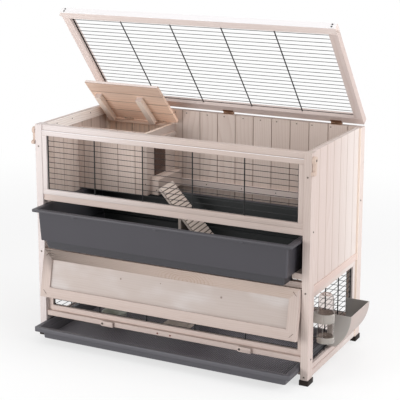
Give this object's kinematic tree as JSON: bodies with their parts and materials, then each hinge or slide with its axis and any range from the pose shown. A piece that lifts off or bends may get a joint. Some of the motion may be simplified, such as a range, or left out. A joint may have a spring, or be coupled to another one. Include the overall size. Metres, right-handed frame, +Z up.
{
  "type": "small animal hutch",
  "caption": "Two-storey pine hutch for small pets with wire panels, a hinged wire lid, a nest box, a slide-out litter drawer and base tray, a front flap and a bottle.",
  "frame": {"origin": "on the floor, at the middle of the rectangle that the four posts stand on", "axes": "+X along the front to the right as seen from the front, +Y from the front to the back, +Z up"},
  "size_m": [1.2428, 0.6433, 1.2868],
  "materials": {
    "pine": "whitewashed pine, matt",
    "nest_pine": "bare pine, matt",
    "wire": "dark coated wire",
    "foot_plastic": "black",
    "drawer_plastic": "dark grey",
    "tray_plastic": "grey",
    "bowl_plastic": "pale grey",
    "hopper_plastic": "grey",
    "holder_plastic": "grey",
    "bottle_plastic": "clear",
    "smoked_plastic": "smoked",
    "bronze": "bronzed",
    "steel": "plain steel"
  },
  "bodies": {
    "carcass": {"back_inner_batten": "nest_pine", "back_rails": "pine", "back_top_rail": "pine", "back_wall_boards": "nest_pine", "back_window_frame": "pine", "back_window_mesh": "wire", "bottle_holder": "holder_plastic", "centre_brace": "pine", "drawer_runners": "pine", "foot_caps": "foot_plastic", "front_bottom_rail": "pine", "front_mid_rail": "pine", "front_shelf_rail": "pine", "front_top_rail": "pine", "hay_hopper": "hopper_plastic", "hinge_fixed_leaves": "bronze", "hinge_pins": "steel", "left_wall_boards": "pine", "left_window_frame": "pine", "left_window_mesh": "wire", "lower_front_frame": "pine", "lower_front_mesh": "wire", "nest_back_rail": "nest_pine", "nest_door_rails": "nest_pine", "nest_floor": "nest_pine", "nest_front": "nest_pine", "nest_side_wall": "nest_pine", "post_back_left": "pine", "post_back_right": "pine", "post_front_left": "pine", "post_front_right": "pine", "right_wall_boards": "pine", "right_window_frame": "pine", "right_window_mesh": "wire", "side_bottom_rails": "pine", "side_mid_rails": "pine", "side_top_battens": "pine", "tray_runners": "pine", "upper_front_frame": "pine", "upper_front_mesh": "wire", "wood_screws": "steel"},
    "lid": {"lid_frame": "pine", "lid_mesh": "wire", "lid_hinge_leaves": "bronze", "lid_fasteners": "steel"},
    "nest_lid": {"nest_lid_boards": "nest_pine", "nest_lid_battens": "nest_pine", "nest_lid_hinge_leaves": "bronze"},
    "nest_door": {"nest_door": "smoked_plastic"},
    "litter_drawer": {"litter_drawer": "drawer_plastic", "ramp": "pine"},
    "base_tray": {"base_tray": "tray_plastic", "feed_bowl": "bowl_plastic"},
    "front_flap": {"flap_frame": "pine", "flap_panel": "pine"},
    "left_turn_button": {"turn_button_left": "pine"},
    "right_turn_button": {"turn_button_right": "pine"},
    "left_catch": {"catch_left": "pine"},
    "right_catch": {"catch_right": "pine"},
    "water_bottle": {"water_bottle": "bottle_plastic"}
  },
  "joints": [
    {"name": "lid_hinge", "type": "hinge", "parent": "carcass", "child": "lid", "pos_m": [0, 0.264, 0.8622], "axis": [1, 0, 0], "range_deg": [-44.75, 50.25]},
    {"name": "nest_lid_hinge", "type": "hinge", "parent": "carcass", "child": "nest_lid", "pos_m": [0, 0.222, 0.8052], "axis": [1, 0, 0], "range_deg": [-39.7, 44.5]},
    {"name": "nest_door_slide", "type": "slide", "parent": "carcass", "child": "nest_door", "axis": [0, 1, 0], "range_m": [0, 0.074]},
    {"name": "drawer_slide", "type": "slide", "parent": "carcass", "child": "litter_drawer", "axis": [0, 1, 0], "range_m": [-0.15, 0.088]},
    {"name": "tray_slide", "type": "slide", "parent": "carcass", "child": "base_tray", "axis": [0, 1, 0], "range_m": [-0.25, 0.099]},
    {"name": "flap_pivot", "type": "hinge", "parent": "carcass", "child": "front_flap", "pos_m": [0, -0.264, 0.354], "axis": [1, 0, 0], "range_deg": [-78.5, 11.5]},
    {"name": "left_button_turn", "type": "hinge", "parent": "carcass", "child": "left_turn_button", "pos_m": [-0.283, -0.2693, 0.095], "axis": [0, 1, 0], "range_deg": [-90, 90]},
    {"name": "right_button_turn", "type": "hinge", "parent": "carcass", "child": "right_turn_button", "pos_m": [0.304, -0.2693, 0.095], "axis": [0, 1, 0], "range_deg": [-90, 90]},
    {"name": "left_catch_turn", "type": "hinge", "parent": "carcass", "child": "left_catch", "pos_m": [-0.5813, -0.259, 0.833], "axis": [1, 0, 0], "range_deg": [-180, 0]},
    {"name": "right_catch_turn", "type": "hinge", "parent": "carcass", "child": "right_catch", "pos_m": [0.5813, -0.259, 0.833], "axis": [1, 0, 0], "range_deg": [-180, 0]},
    {"name": "bottle_lift", "type": "slide", "parent": "carcass", "child": "water_bottle", "axis": [0, 0, 1], "range_m": [0, 0.14]}
  ],
  "couplings": [
    {"joint": "nest_lid_hinge", "follows": "lid_hinge", "ratio": 0.8855}
  ]
}
